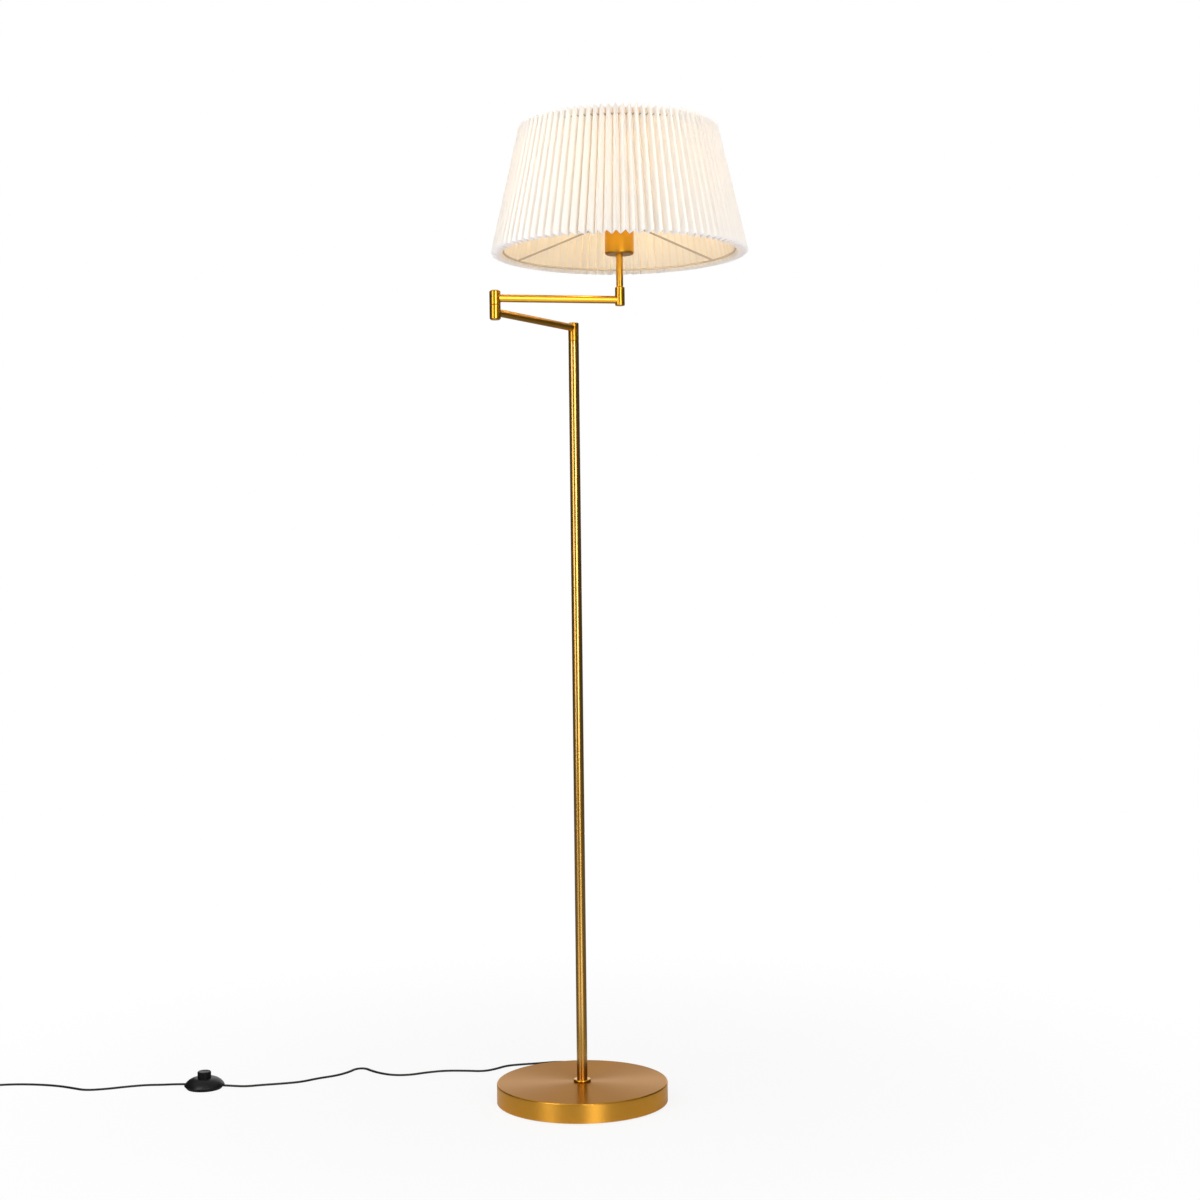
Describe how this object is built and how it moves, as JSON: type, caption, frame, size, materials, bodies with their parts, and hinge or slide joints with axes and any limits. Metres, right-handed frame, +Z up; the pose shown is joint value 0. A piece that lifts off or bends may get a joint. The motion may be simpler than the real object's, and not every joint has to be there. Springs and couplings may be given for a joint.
{
  "type": "bridge floor lamp",
  "caption": "Brass bridge floor lamp: round weighted base, straight pole, folding two-part swing arm, pleated fabric shade, and a foot switch on its mains cord.",
  "frame": {"origin": "on the floor at the centre of the foot pad under the round base, on the pole's axis", "axes": "+Z up along the pole; +X to the right and -Y towards the viewer in the picture's front view"},
  "size_m": [1.3002, 0.6054, 1.4449],
  "materials": {
    "foot_pad": "thin black foam pad",
    "black_board": "plain black board and moulding, out of sight",
    "bronze_brass": "antique bronze-gold, finely brushed in circles under clear lacquer",
    "cast_iron": "raw casting, out of sight",
    "zinc_steel": "zinc-plated steel, out of sight",
    "polished_brass": "polished brass under clear lacquer",
    "satin_brass": "satin brass under clear lacquer",
    "black_plastic": "black moulding with a fine matt grain",
    "lead_sheath": "black sheathed lead inside the tubes",
    "holder_plastic": "pale heat-resistant moulding",
    "contact_brass": "bare contact brass",
    "lamp_cap_metal": "bulb cap",
    "frosted_glass": "frosted, lit",
    "pleated_fabric": "knife-pleated off-white fabric on a stiff lining, lit from inside",
    "white_wire": "white-painted wire",
    "cord_sheath": "black flat twin cord, soft matt sheath",
    "tie_plastic": "thin black strap",
    "plug_metal": "nickel-plated pins"
  },
  "bodies": {
    "stand": {"base_foot_pad": "foot_pad", "base_cover": "black_board", "base_shell": "bronze_brass", "base_weight": "cast_iron", "base_stud": "zinc_steel", "base_washer": "zinc_steel", "base_nut": "zinc_steel", "pole_collar": "polished_brass", "base_strain_relief": "black_plastic", "lower_pole_tube": "polished_brass", "middle_pole_tube": "polished_brass", "upper_pole_tube": "polished_brass", "pole_foot_insert": "zinc_steel", "lower_pole_coupler": "zinc_steel", "upper_pole_coupler": "zinc_steel", "pole_top_insert": "zinc_steel", "shoulder_pivot": "zinc_steel", "shoulder_pivot_nut": "zinc_steel", "pole_lead": "lead_sheath", "switch_base": "black_plastic", "switch_cover": "black_plastic", "switch_mechanism": "black_board", "switch_screws": "zinc_steel", "base_to_switch_cord": "cord_sheath", "switch_to_coil_cord": "cord_sheath", "cord_coil": "cord_sheath", "coil_to_plug_cord": "cord_sheath", "cord_tie": "tie_plastic", "plug_strain_relief": "black_plastic", "plug_body": "black_plastic", "plug_pins": "plug_metal"},
    "lower_arm": {"shoulder_hub": "polished_brass", "shoulder_cap": "polished_brass", "lower_arm_tube": "polished_brass", "elbow_lower_hub": "polished_brass", "elbow_pivot": "zinc_steel", "elbow_pivot_nut": "zinc_steel", "lower_arm_lead": "lead_sheath"},
    "upper_arm": {"elbow_upper_hub": "polished_brass", "elbow_cap": "polished_brass", "upper_arm_tube": "polished_brass", "upper_arm_lead": "lead_sheath", "head_hub": "polished_brass", "head_stem": "polished_brass", "lamp_cup": "satin_brass", "stem_nut": "zinc_steel", "lampholder_body": "holder_plastic", "centre_contact": "contact_brass", "socket_screw_shell": "contact_brass", "shade_ring_nut": "holder_plastic", "bulb_cap": "lamp_cap_metal", "bulb_globe": "frosted_glass", "shade_fabric": "pleated_fabric", "shade_spider": "white_wire", "shade_bottom_ring": "white_wire", "shade_top_ring": "white_wire"},
    "switch_button": {"switch_button": "black_plastic"}
  },
  "joints": [
    {"name": "shoulder_swivel", "type": "hinge", "parent": "stand", "child": "lower_arm", "pos_m": [0, 0, 1.1567], "axis": [0, 0, 1], "range_deg": [-138, 202]},
    {"name": "elbow_swivel", "type": "hinge", "parent": "lower_arm", "child": "upper_arm", "pos_m": [-0.10939, -0.17574, 1.1872], "axis": [0, 0, 1], "range_deg": [-301, 39]},
    {"name": "button_press", "type": "slide", "parent": "stand", "child": "switch_button", "axis": [0, 0, -1], "range_m": [0, 0.0035], "stiffness_N_per_m": 1200, "springref_m": -0.001}
  ]
}
